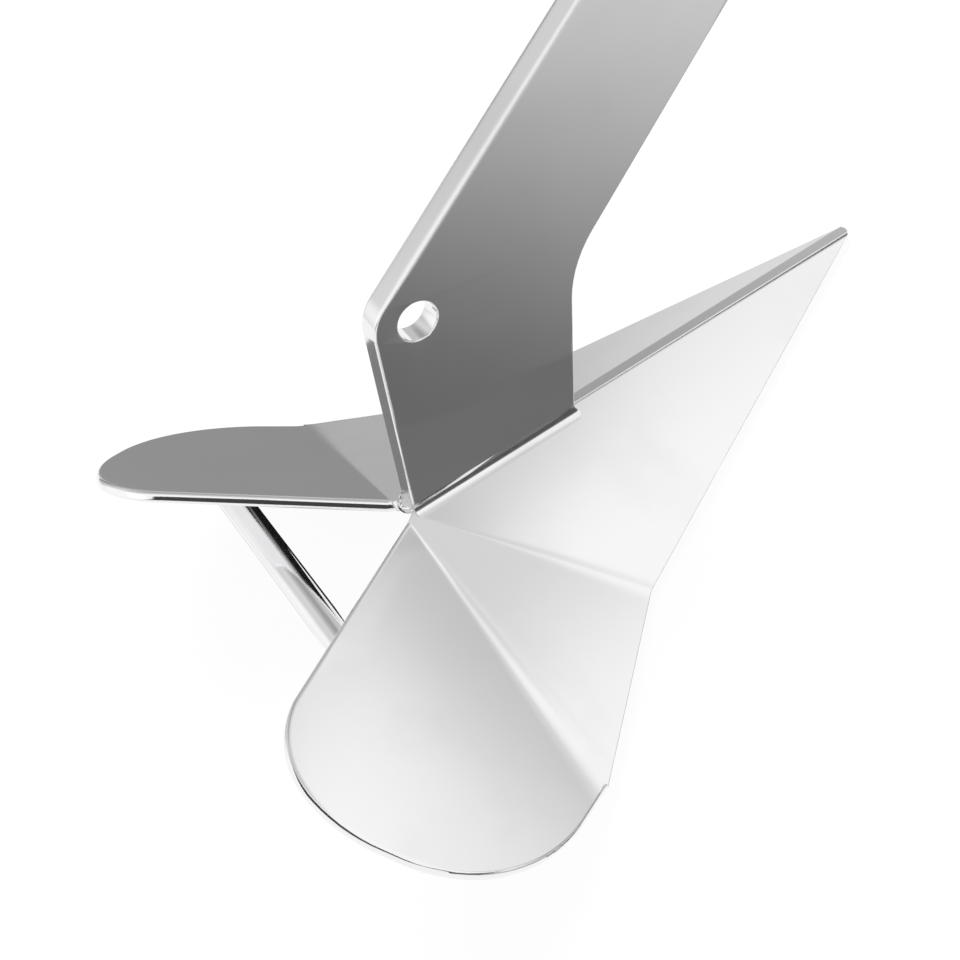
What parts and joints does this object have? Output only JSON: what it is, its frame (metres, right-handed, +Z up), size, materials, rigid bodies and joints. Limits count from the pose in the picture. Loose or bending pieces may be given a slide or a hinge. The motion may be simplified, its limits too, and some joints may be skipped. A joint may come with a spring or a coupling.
{
  "type": "plough anchor",
  "caption": "Fixed-shank plough anchor with folded fluke plates, flared wings, a brace rod behind the heel and a trip line hole in the crook of the shank.",
  "frame": {"origin": "centre of the bounding box, on the ground that the anchor rests on", "axes": "+X from the heel to the nose and along the shank to its free end, +Y to port, +Z up"},
  "size_m": [0.8004, 0.4222, 0.4427],
  "materials": {
    "polished_steel": "mirror polished",
    "weld_metal": "dressed and polished",
    "lead": "dull as cast"
  },
  "bodies": {
    "root": {"shank": "polished_steel", "port_fluke_plate": "polished_steel", "starboard_fluke_plate": "polished_steel", "ridge_weld": "weld_metal", "port_shank_weld": "weld_metal", "starboard_shank_weld": "weld_metal", "brace_rod": "polished_steel", "port_rod_weld": "weld_metal", "starboard_rod_weld": "weld_metal", "nose_cover_plate": "polished_steel", "nose_ballast": "lead"}
  },
  "joints": []
}
